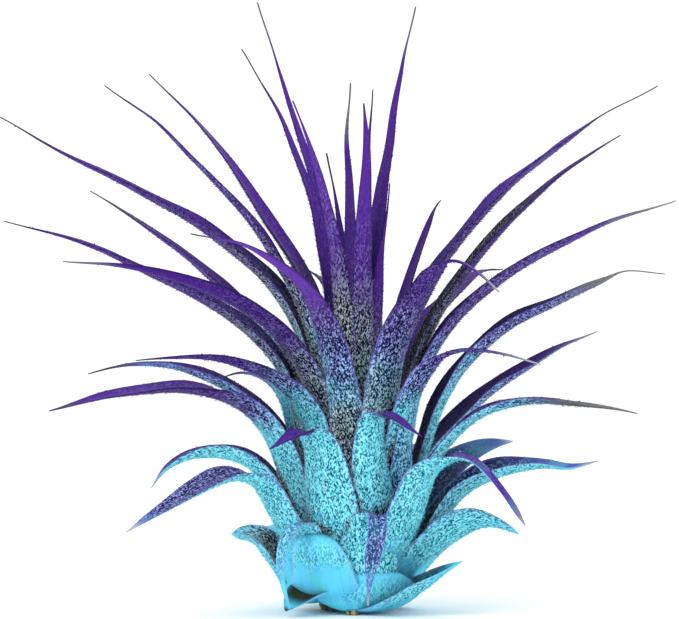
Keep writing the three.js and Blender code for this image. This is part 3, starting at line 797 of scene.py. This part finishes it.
# A row: heading in degrees, height on the stem, width, taper, path, and what differs from leafDefaults
leaves = {
    # Leaf bases round the foot
    "sheath_front_low": blade(-74, 1.4, 17, 0.32, [(9, 1.1), (11.2, 3), (12.4, 5.4), (12.6, 7.6)],
        bare=(0.35, 0.8), fuzz=0.5, inside="bright", olive=0),
    "sheath_boat_left": blade(-132, 1.8, 9, 0.7, [(9.2, 3.2, 1.6), (12.6, 3.4, 2), (15.6, 2.5, 2),
        (18, 1.2, 1.8)], roll=-4, bare=(0.5, 0.9), fuzz=0.3, fuzzIn=0, navy=(0.7, 1), inside="olive",
        olive=0),
    "sheath_boat_right": blade(-38, 1.6, 12, 0.7, [(10, 2.4, -3), (14.6, 4.3, -2.2), (18.8, 6.7, -1.4),
        (22.7, 8.8, -0.7)], roll=-20, bare=(0.1, 0.5), fuzz=0.8, navy=(0.7, 1), olive=0, dry=(1, 1.2)),
    "sheath_back": blade(92, 1.8, 12, 0.6, [(9.4, 1.4), (12.8, 2.2), (15.4, 4.8), (17, 8.4)],
        bare=(0.3, 0.8), fuzz=0.7, olive=0),
    "sheath_right": blade(26, 2, 10.4, 0.5, [(9.8, 2), (11.6, 4.2), (12.6, 7), (13, 9.2)], bare=(0.4, 0.9),
        fuzz=0.5, inside="olive", olive=0),
    "sheath_dome": blade(-110, 3, 12, 0.35, [(11.8, 3.6, -0.4), (14.6, 8, -0.4), (15.8, 11.4, -0.2),
        (14.4, 13.3)], bare=(0.55, 0.8), fuzz=0.9, inside="bright", olive=0),
    "sheath_left": blade(-152, 2.2, 11, 0.45, [(9.8, 2.6), (11.8, 6.2), (12.6, 10), (13, 12.6)],
        bare=(0.5, 0.9), fuzz=0.4, inside="olive", olive=0),
    # Short and arching leaves of the lower half
    "leaf_hanging_front": blade(-79, 3.4, 10.4, 1.35, [(11.6, 6), (13.2, 10.8, 0.1), (14.8, 14.9, 0.3),
        (17.4, 16.4, 0.3), (20, 14.8, -0.1), (21.2, 9.6, -0.9), (21.2, 2.4, -1.7)], strand=(0.5, 3.2),
        fuzzIn=0.7, fuzzEnd=(0.8, 1), violetIn=(0.1, 0.4), mostIn=0.42, inside="bright", olive=0,
        pale=0.8),
    "leaf_hanging_left": blade(-128, 4, 3.3, 0.8, [(12.2, 9.6, 3.1), (15.6, 14.6, 3.1), (20.4, 13.2, 3.2),
        (22.6, 8.5, 3.6), (22, 1.4, 4.6)], fuzz=0.6, fuzzIn=0.6, violetIn=(0.1, 0.5), mostIn=0.16,
        inside="bright", olive=0, dry=(0.97, 1.1)),
    "leaf_low_left": blade(178, 3, 13, 0.32, [(10, 5.5), (13, 9.1), (16, 12), (20, 12.5)], roll=-18,
        fuzzIn=0.9, fuzzEnd=(0.9, 1.2), navy=(0.6, 1), inside="olive", olive=0, dry=(1, 1.2)),
    "leaf_low_right_1": blade(-24, 3.4, 11.6, 0.42, [(10.6, 6.8), (15.7, 11.6), (19, 13.9), (22.4, 15),
        (25.6, 14.5), (28.8, 12.9)], roll=10, twist=12, bare=(0.15, 0.45), fuzzIn=0.6, fuzzEnd=(0.85, 1.2),
        violetIn=(0.2, 0.5), olive=0, dry=(0.97, 1.1)),
    "leaf_low_right_2": blade(-4, 4.6, 11.6, 0.85, [(11, 9.4), (13.6, 14.2), (16.2, 17.8), (19.8, 21),
        (24.4, 23.1), (31, 23.8), (35.9, 23.4), (40.4, 24.5)], roll=-8, fold=1.5, fuzzIn=0.5,
        violetIn=(0.2, 0.6), mostIn=0.6, navy=(0.5, 0.85), pale=0.8),
    "leaf_low_back": blade(136, 3.6, 9, 0.75, [(10.2, 6.6), (13.6, 10.4), (18.2, 12.6), (23.4, 12)],
        olive=0),
    "leaf_front_short": blade(-97, 4.6, 9, 0.35, [(10.8, 8), (12.2, 12), (13, 15), (13, 16.8)],
        bare=(0.2, 0.6), olive=0.3),
    "leaf_arching_right": blade(-46, 5.4, 10.6, 0.9, [(12.6, 11.2, -1.8), (16.8, 17.6, -3), (20.6, 23, -3.6),
        (25.4, 25.4, -3.8), (31, 24.7, -3.6), (36.5, 20.4, -3), (40.4, 15.7, -2.6)], roll=-8,
        strand=(0.62, 2), bare=(0.1, 0.3), fuzzIn=0.6, violetIn=(0.15, 0.45), mostIn=0.85,
        inside="bright", olive=0.2, dry=(0.9, 1.06), pale=1),
    "leaf_arching_left": blade(-140, 4.8, 10.8, 0.95, [(11.4, 10.4), (15.6, 16.2), (19.6, 21.2),
        (24.6, 22.6), (32.2, 20.3), (38.4, 17.6), (45, 14.2)], roll=-12, bare=(0.12, 0.34), fuzzIn=1,
        fuzzEnd=(0.8, 1), violetIn=(0.1, 0.35), mostIn=0.62, inside="bright", olive=0.2, pale=1),
    "leaf_low_arch_left": blade(174, 5.4, 10, 0.75, [(11.2, 17), (14.8, 22.6), (19.4, 25.4), (25.4, 25.4),
        (30.4, 22.9), (33.2, 19.4)], roll=6, twist=-16, fold=1.5, fuzzIn=0.5, fuzzEnd=(0.7, 1),
        violetIn=(0.1, 0.3), mostIn=0.85, navy=(0.3, 0.7), pale=1),
    "leaf_right_short": blade(34, 4.8, 8.4, 0.65, [(11, 12), (15.6, 19.3), (20.6, 23.2), (25.2, 25.4),
        (29.1, 26.6), (33, 27)], roll=-22, fuzzIn=0.5, violet=(0.6, 1.1), most=0.35,
        violetIn=(0.1, 0.4), mostIn=0.4, navy=(0.5, 0.9), dusk=0.2, duskIn=0.45, dry=(0.92, 1.05),
        pale=1),
    "leaf_back_1": blade(66, 5, 8, 0.9, [(11, 11), (14.4, 18.4), (20.6, 24), (29, 26.4)], fuzzIn=0.5),
    "leaf_back_2": blade(104, 5.4, 8, 0.9, [(11.2, 12.6), (15, 20.8), (21.6, 26.8), (30, 29)], fuzzIn=0.5),
    "leaf_front_left": blade(-119, 6.4, 10.2, 1.05, [(12.4, 14, 3.1), (14.2, 21.4, 2.9), (15.6, 27, 2.6),
        (18, 29.3, 2.2), (22.2, 28.6, 1.6), (28.4, 26.8, 1.1)], bare=(0.1, 0.3), fuzzIn=0.2,
        fuzzEnd=(0.72, 0.95), violet=(0.7, 0.74), violetIn=(0.2, 0.5), navy=(0, 0.2), inside="bright",
        dry=(0.98, 1.1)),
    "leaf_front_right": blade(-70, 6.6, 7.8, 0.95, [(12.4, 14, -0.8), (13.9, 22, -1.6), (14.8, 28.6, -2.2),
        (17, 31.8, -2.4), (21.2, 32, -1.3), (27.3, 29, 1.4)], bare=(0.1, 0.3), fuzzIn=0.2,
        fuzzEnd=(0.85, 1.1), violet=(0.73, 0.78), violetIn=(0.2, 0.5), navy=(0, 0.2), inside="bright",
        dry=(0.98, 1.1)),
    # Blades of the middle
    "leaf_right_1": blade(-14, 6.4, 8.2, 1.1, [(11.8, 21.6), (15.8, 27.4), (21.6, 32.5), (28.2, 34),
        (36.5, 33.9), (47, 32.1)], roll=-9, fuzzIn=0.7, violet=(0.5, 0.75), most=0.3,
        violetIn=(0.1, 0.4), navy=(0.45, 0.75), olive=0.4, dry=(0.62, 0.84), pale=0.15),
    "leaf_left_1": blade(-166, 6.6, 10.2, 0.95, [(10.6, 21.4), (13.4, 28.3), (18.8, 33.9), (27.9, 36.1),
        (38.5, 35.1), (49.6, 32.7)], roll=10, twist=-30, fuzzIn=0.6, fuzzEnd=(0.6, 0.95), violet=(0.35, 0.6),
        violetIn=(0.05, 0.3), navy=(0.3, 0.6)),
    "leaf_left_2": blade(164, 7, 7, 0.95, [(10.4, 23), (13, 29), (16.4, 32.8), (20.6, 35.9), (25.4, 38.3),
        (31.5, 40), (38.6, 40.3), (46, 38.6)], twist=-8, fold=1.5, fuzzIn=0.7, violet=(0.35, 0.7),
        most=0.5, violetIn=(0.05, 0.3), navy=(0.4, 0.75), dusk=0.1, duskIn=0.35, dry=(0.8, 0.95)),
    "leaf_right_2": blade(28, 7, 6.4, 1, [(13, 23.6), (17.8, 28.8), (24.8, 34.6), (32.4, 39.3), (40.2, 43.3),
        (47.8, 45.8)], roll=6, twist=-12, fold=1.6, fuzzIn=0.4, violet=(0.35, 0.7), most=0.5,
        violetIn=(0.05, 0.3), navy=(0.5, 0.8), dusk=0.1, duskIn=0.4, dry=(0.86, 0.98), pale=0.4),
    "leaf_right_front": blade(-36, 8, 7, 1, [(11.6, 26.2, -3.2), (14.8, 34.6, -4.2), (19.8, 40.2, -5.6),
        (26, 42.3, -7), (33, 41.9, -8.4), (42.4, 39.5, -10.1)], strand=(0.62, 1.2), violet=(0.34, 0.7),
        most=0.8, violetIn=(0.05, 0.3), dry=(0.8, 1), pale=0.7),
    "leaf_front_blue": blade(-50, 7.6, 5.4, 0.6, [(11.2, 18), (13.4, 24, -0.9), (14, 28, -1.5),
        (14.2, 31.4, -1.8)], fuzzEnd=(0.9, 1.2), violet=(0, 0.5), most=0.15, olive=0.3),
    "leaf_left_3": blade(-152, 8, 7.4, 1.2, [(6.7, 28), (9.4, 33.5), (14.7, 38.1), (20.4, 40.1),
        (27.5, 41.2), (38.8, 40.4)], roll=8, fuzzIn=0.8, violet=(0.4, 0.7), most=0.95,
        violetIn=(0.05, 0.3), navy=(0.45, 0.75), dry=(0.86, 0.98)),
    "leaf_left_4": blade(140, 7.6, 5.4, 0.9, [(11.2, 25.5), (13.4, 32.5), (17.6, 37), (23.5, 39),
        (27.9, 38.1)], fuzzIn=0.6, violet=(0.4, 0.8), most=0.5, violetIn=(0.7, 1), inside="olive",
        dry=(0.75, 1)),
    "leaf_back_3": blade(84, 8, 6, 0.95, [(10, 25), (14.4, 32), (20.6, 37.4), (28, 40.4)], fuzzIn=0.5,
        dusk=0.3),
    "leaf_right_3": blade(17, 8.4, 6.8, 0.65, [(12.6, 27), (14.8, 33.2), (18.2, 38.8), (22.4, 43),
        (29.3, 47.6), (36.5, 50.8), (43.7, 54.1), (47.8, 55.9), (55.7, 55.4)], roll=8, twist=-12, fold=1.6,
        strand=(0.86, 0.55), fuzzEnd=(0.7, 0.85), violet=(0.34, 0.6), most=0.6, navy=(0.7, 0.95),
        duskIn=0.35, dry=(0.68, 0.86), pale=0.3),
    "leaf_big_left": blade(-118, 9, 7.1, 1.6, [(7, 20, 2.8), (8.8, 31.1, 3.4), (12.2, 42, 3),
        (21.1, 51.6, 2.9), (39.6, 58.1, 2), (51.8, 59, 0.5)], fuzzIn=0.3, fuzzEnd=(0.46, 0.66),
        violet=(0.26, 0.6), navy=(0.5, 0.75), silver=0.9, silverEnd=(0.25, 0.4), glow=0.6),
    "leaf_big_right": blade(-55, 9.4, 7.9, 0.75, [(8.4, 20, -0.6), (10.4, 33, -1.2), (13.2, 43, -1),
        (18.4, 50.2, -0.3), (25.8, 55.2, -1.3), (34.6, 55.3, -3.4), (46, 50.8, -6)], strand=(0.72, 0.9),
        fuzzIn=0.3, fuzzEnd=(0.6, 0.85), violet=(0.3, 0.62), navy=(0.4, 0.65), silver=0.6,
        silverEnd=(0.34, 0.48), dry=(0.88, 1), pale=0.6),
    "leaf_right_4": upright(2, 10, 7.8, 0.75, [(8.8, 27), (11, 37.5), (15.7, 46.1), (23.9, 53.9),
        (38.1, 61.5), (45.8, 64.8), (53.5, 67)], fold=1.3, most=0.85, navy=(0.6, 0.9), dry=(0.8, 0.98),
        pale=0.4),
    "leaf_right_5": upright(24, 11, 6.4, 1.1, [(8, 28), (11, 39.6), (19.5, 54.3), (33.1, 67.6), (38.6, 72.3),
        (44.9, 76.4), (50.4, 79.4)], roll=12, twist=-14, fold=1.6, fuzzIn=0.5, navy=(0.6, 0.9),
        inside="olive", silver=0.8, dusk=0.15, duskIn=0.5, dry=(0.86, 0.98)),
    "leaf_right_behind": upright(52, 11, 6.4, 0.75, [(9, 30), (13, 39), (20, 46.9), (29.3, 52.8),
        (36.7, 56.3), (43.8, 56.8)], dusk=0.25, dry=(0.86, 1)),
    "leaf_upper_left_1": upright(172, 11, 7.4, 1.15, [(8, 28), (11.4, 39.2), (20.3, 48.3), (33.4, 55.3),
        (44.4, 60), (58.7, 64.1)], roll=-2, twist=-4, fold=1.5, navy=(0.42, 0.66), silver=0.5,
        dry=(0.88, 1)),
    "leaf_upper_left_2": blade(-152, 12, 7, 0.7, [(5.6, 28), (7.2, 36.5), (12.8, 44.3), (21, 50),
        (35.1, 54.5), (51, 55.9)], roll=5, fuzzEnd=(0.45, 0.75), violet=(0.22, 0.5), navy=(0.5, 0.8),
        silver=0.8, silverEnd=(0.3, 0.46), dry=(0.86, 0.98), pale=0.3),
    # Upright blades and the young leaves of the heart
    "leaf_upper_left_3": blade(148, 12, 6.4, 1.1, [(7.4, 30), (10.4, 39.2), (17.6, 46.4), (29.1, 55.6),
        (43.2, 64.8), (53.8, 70.4)], roll=14, twist=-12, fold=1.5, violet=(0.35, 0.55), navy=(0.4, 0.7),
        silver=0.5, duskIn=0.15, dry=(0.8, 0.96)),
    "leaf_upper_left_4": upright(159, 13, 6.8, 1.1, [(6, 32), (8.2, 43.6), (14.7, 53.8), (28.9, 64.2),
        (46.2, 73.1), (65.3, 83)], roll=2, fold=1.6, navy=(0.4, 0.62), silver=0.6, dry=(0.86, 0.97)),
    "leaf_back_4": blade(100, 12, 5.8, 1.28, [(7.6, 30), (10.6, 41), (16, 49.4), (23.6, 55)], dusk=0.4),
    "leaf_upper_right": upright(12, 13.6, 7, 0.55, [(6, 32), (8.8, 46), (15.8, 58.2), (21.6, 64.8),
        (28.4, 71.3), (40.1, 80.1), (52.4, 86.8)], strand=(0.85, 0.5), most=0.9, navy=(0.4, 0.8),
        dry=(0.84, 0.88)),
    "leaf_cut": blade(35, 14, 3, 0.3, [(5.6, 32), (8.4, 45.7), (12.2, 54.9), (15.8, 63.1), (17.2, 66.6),
        (18.2, 67.5)], strand=(0.96, 0.45), violet=(0.2, 0.5), dusk=0.4, dry=(0.94, 0.97)),
    "leaf_upper_left_5": upright(167, 14.6, 6.2, 1.15, [(4.6, 32), (5.8, 41.4), (10.2, 53.5), (20.4, 67.6),
        (32, 79.1), (42.4, 86.9)], roll=12, twist=-8, fold=1.4, most=0.85, navy=(0.35, 0.6),
        silver=0.6, dry=(0.86, 0.97)),
    "leaf_middle_front_1": blade(-118, 14, 4.1, 1.1, [(4.4, 32, 1.2), (6, 44, 1.8), (8.2, 56.2, 1.8),
        (11.8, 67.4, 1.1), (16.6, 77, 0.4), (19.4, 81.6, -0.4)], violet=(0.35, 0.55), silver=0.95,
        silverEnd=(0.46, 0.66), glow=0.3, dry=(0.97, 1.1)),
    "leaf_middle_front_2": blade(-80, 14, 4.6, 0.8, [(4.6, 30, 0.2), (6.1, 41.6, 0.3), (8.2, 53.6, 0.3),
        (11, 67, 0.2), (13, 76.6, -0.2), (14.1, 81.4, -0.6)], fuzzEnd=(0.55, 0.8), violet=(0.35, 0.55),
        silver=0.8, silverEnd=(0.42, 0.62), glow=0.1, dry=(0.95, 1)),
    "leaf_middle_front_3": blade(-50, 14.4, 5.2, 0.68, [(3.8, 30, 0.4), (5, 43, 0.5), (6.6, 52.1),
        (8.4, 59.9, -0.8)], fuzzEnd=(0.65, 0.9), violet=(0.4, 0.6), silver=0.8, silverEnd=(0.5, 0.8),
        dry=(0.98, 1.1)),
    "leaf_upper_left_6": upright(150, 15.4, 6, 1.15, [(3.8, 32), (5.8, 45.2), (10.2, 55.7), (17.9, 66.7),
        (27, 78.4), (39.9, 89.8)], navy=(0.3, 0.55), silver=0.5, dry=(0.88, 0.98)),
    "leaf_young_left": upright(118, 15, 4.2, 1.22, [(4.2, 33, -1), (6.6, 45.4, -1.6), (12.5, 53, -2),
        (21.5, 56.9, -2.2)], dusk=0.5, dry=(0.8, 1)),
    "leaf_upper_left_7": upright(138, 16.4, 5, 1.5, [(2.8, 32), (4, 45), (6, 57), (9.8, 69.4), (15.8, 81.1),
        (25.4, 93.7)], dry=(0.8, 0.95)),
    "leaf_middle_1": upright(-28, 15.4, 4.2, 1.22, [(2.6, 30, 0.4), (3.8, 44, 0.8), (5.2, 55.3, 0),
        (6.6, 64.2, -0.7), (7.4, 69.4, -1.2)], silver=0.9, silverEnd=(0.5, 0.7), dry=(0.98, 1.1)),
    "leaf_middle_2": upright(60, 16.4, 4.7, 1.25, [(2.4, 30), (4, 45.4, -0.6), (8.4, 62, 0.2),
        (13.5, 77.5, 0.4), (18, 91, 0.4), (21.4, 101.2, -0.2)], silver=0.8, silverEnd=(0.3, 0.5), dusk=0.2,
        dry=(0.86, 0.97), pale=0.15),
    "leaf_upper_left_8": upright(122, 17.4, 5, 1.7, [(1.8, 32), (3, 45), (6.6, 58), (12.4, 71.6), (20.6, 86),
        (25.8, 94.5, 0.2), (30.6, 103)], dry=(0.84, 0.97), pale=0.15),
    "leaf_middle_3": upright(102, 17, 3.9, 1.5, [(2.4, 31, -0.6), (4.8, 45, -0.7), (8.8, 57.5, -0.7),
        (12, 65.4, -0.1), (14.3, 70.6, 0.3), (16.5, 76, 0.7)], silver=0.8, silverEnd=(0.4, 0.6), dusk=0.3,
        dry=(0.84, 0.95)),
    "leaf_middle_4": upright(22, 17.6, 4.4, 1, [(1.9, 31, 1.2), (2.7, 45, 1.8), (3.7, 57, 3), (4.6, 68, 3.8),
        (5.4, 78, 5.2), (6.1, 86, 6.1)], dusk=0.15, dry=(0.9, 0.98)),
    "leaf_middle_5": upright(88, 18, 3.5, 1.1, [(1.6, 31), (2.6, 45.2), (5.8, 58, 0.3), (10, 71.6, 0.8),
        (13, 81.1, 1.1), (15, 87.8, 0.7)], silver=0.8, silverEnd=(0.3, 0.5), dusk=0.3, dry=(0.82, 0.92),
        pale=0.2),
}

laidLeaves = layLeaves(leaves)
measureClosed(laidLeaves)
finishLeaves(laidLeaves)


# Stem and root stubs

def makeBark(name, dark, light, roughness):
    material, tree, shader = newMaterial(name)
    place = addNode(tree, "ShaderNodeTexCoord").outputs["Object"]
    fibre = noiseOn(tree, stretch(tree, place, (1.0, 1.0, 0.25)), 1800.0, 4.0)
    colour = ramp(tree, fibre, [(0.35, dark), (0.7, light)])
    bump = bumpOf(tree, fibre, 0.6, 0.2 * mm)
    feed(tree, shader, {"Base Color": colour, "Roughness": roughness, "Normal": bump})
    return material


def makeStem():
    form = stemForm
    top = form["height"] + form["topSpare"]
    bpy.ops.mesh.primitive_cylinder_add(vertices=48, radius=form["footRadius"] * mm, depth=top * mm,
                                        location=(0, 0, top / 2 * mm))
    stem = bpy.context.object
    bpy.ops.object.transform_apply(location=True, rotation=True, scale=True)
    setMode("EDIT")
    for height in np.arange(1.0, top, 1.0):
        bpy.ops.mesh.select_all(action="SELECT")
        bpy.ops.mesh.bisect(plane_co=(0, 0, height * mm), plane_no=(0, 0, 1))
    setMode("OBJECT")
    for vertex in stem.data.vertices:
        x, y, up = vertex.co / mm
        turn = math.atan2(y, x)
        bumps = noise.noise(Vector((math.cos(turn) * 3, math.sin(turn) * 3, up / 1.5)))
        radius = stemRadius(min(up, form["height"])) + form["roughness"] * bumps
        vertex.co.x = math.cos(turn) * radius * mm
        vertex.co.y = math.sin(turn) * radius * mm
    pick(stem)
    setMode("EDIT")
    bpy.ops.mesh.select_mode(type="FACE")
    bpy.ops.mesh.select_all(action="DESELECT")
    setMode("OBJECT")
    for face in stem.data.polygons:      # the cut foot, with its rings
        face.select = face.normal.z < -0.9
    setMode("EDIT")
    for step, inset in enumerate(form["footRings"]):
        rise = form["ringRise"] * (1, -1)[step % 2]
        bpy.ops.mesh.inset(thickness=inset * mm, depth=0.0)
        bpy.ops.transform.translate(value=(0, 0, rise * mm))
    setMode("OBJECT")
    bpy.ops.object.shade_smooth_by_angle(angle=math.radians(40))
    stem.data.materials.append(makeBark("stemCore", tone(38, 52, 40), tone(92, 116, 96), 0.8))
    settle(stem, "stem")


rootForm = {
    "routes": {
        "root_1": [(-0.7, -3.2), (-0.75, -7.0), (-0.7, -10.9)],
        "root_2": [(0.5, -3.2), (0.45, -7.0), (0.3, -11.2)],
    },
    "radius": 0.32,
    "steps": 12,
    "swell": 0.22,
}


def makeRoot(name, places, bark):
    radius = rootForm["radius"]
    route = splineThrough([np.array([x, y, radius]) for x, y in places], rootForm["steps"])
    bpy.ops.mesh.primitive_circle_add(vertices=10, radius=radius * mm, fill_type="NGON",
                                      location=tuple(route[0] * mm), rotation=(math.pi / 2, 0, 0))
    root = bpy.context.object
    bpy.ops.object.transform_apply(location=True, rotation=True, scale=True)
    setMode("EDIT")
    bpy.ops.mesh.select_all(action="SELECT")
    for before, after in zip(route, route[1:]):
        step = after - before
        bpy.ops.mesh.extrude_region_move(TRANSFORM_OT_translate={"value": tuple(step * mm)})
        swell = 1.0 + rootForm["swell"] * noise.noise(Vector(after) * 1.3)
        bpy.ops.transform.resize(value=(swell, 1.0, swell))
    bpy.ops.mesh.select_all(action="SELECT")
    bpy.ops.mesh.normals_make_consistent(inside=False)
    setMode("OBJECT")
    smoothOut(root)
    root.data.materials.append(bark)
    settle(root, name)


makeStem()
rootBark = makeBark("rootBark", tone(84, 66, 46), tone(176, 156, 118), 0.85)
for rootName, rootPlaces in rootForm["routes"].items():
    makeRoot(rootName, rootPlaces, rootBark)
print("stem and roots are ready")


# Studio: pale floor, soft light and the camera

studioForm = {
    "cameraPlace": (-2.046, -450.0, 38.0),     # millimetres
    "cameraTarget": (-2.046, 0.0, 49.02),
    "lens": 145.8,
    "sensor": 36.0,
    "floorRadius": 4.0,                        # metres, and the lights too
    "floorInset": 0.8,
    "floorTones": [(0.0, (0.9, 0.9, 0.9, 1)), (1.0, (0.94, 0.94, 0.94, 1))],
    "skyStrength": 1.1,
    "lightTarget": (0, 0, 0.045),
    "lights": [
        ("keyLight", (-0.5, -0.7, 0.75), 0.6, 5.0),
        ("fillLight", (0.8, -0.5, 0.35), 0.8, 1.0),
        ("backLight", (0.2, 0.8, 0.7), 0.6, 2.0),
    ],
}


def turnTo(thing, place, target):
    thing.rotation_euler = (target - place).to_track_quat("-Z", "Y").to_euler()


def makeStudio():
    form = studioForm
    bpy.ops.mesh.primitive_circle_add(vertices=96, radius=form["floorRadius"], fill_type="NGON",
                                      location=(0, 0, 0))
    floor = bpy.context.object
    floor.name = "paleFloor"
    setMode("EDIT")
    bpy.ops.mesh.inset(thickness=form["floorRadius"] * form["floorInset"])
    setMode("OBJECT")
    material, tree, shader = newMaterial("palePaint")
    place = addNode(tree, "ShaderNodeTexCoord").outputs["Object"]
    colour = ramp(tree, noiseOn(tree, place, 30.0), form["floorTones"])
    feed(tree, shader, {"Base Color": colour, "Roughness": 0.9, "Specular IOR Level": 0.1})
    floor.data.materials.append(material)

    world = bpy.data.worlds.new("studioSky")
    world.use_nodes = True
    scene = bpy.context.scene
    scene.world = world
    sky = world.node_tree.nodes["Background"]
    feed(world.node_tree, sky, {"Color": white, "Strength": form["skyStrength"]})
    for name, place, size, power in form["lights"]:
        bpy.ops.object.light_add(type="AREA", location=place)
        light = bpy.context.object
        light.name = name
        light.data.shape = "DISK"
        light.data.size = size
        light.data.energy = power
        turnTo(light, Vector(place), Vector(form["lightTarget"]))

    place = Vector(form["cameraPlace"]) * mm
    bpy.ops.object.camera_add(location=place)
    camera = bpy.context.object
    turnTo(camera, place, Vector(form["cameraTarget"]) * mm)
    camera.data.lens = form["lens"]
    camera.data.sensor_fit = "HORIZONTAL"
    camera.data.sensor_width = form["sensor"]
    camera.data.clip_start = 0.01
    camera.data.clip_end = 20.0
    scene.camera = camera
    scene.view_settings.view_transform = "Standard"
    scene.view_settings.look = "None"


makeStudio()
print("studio is ready")
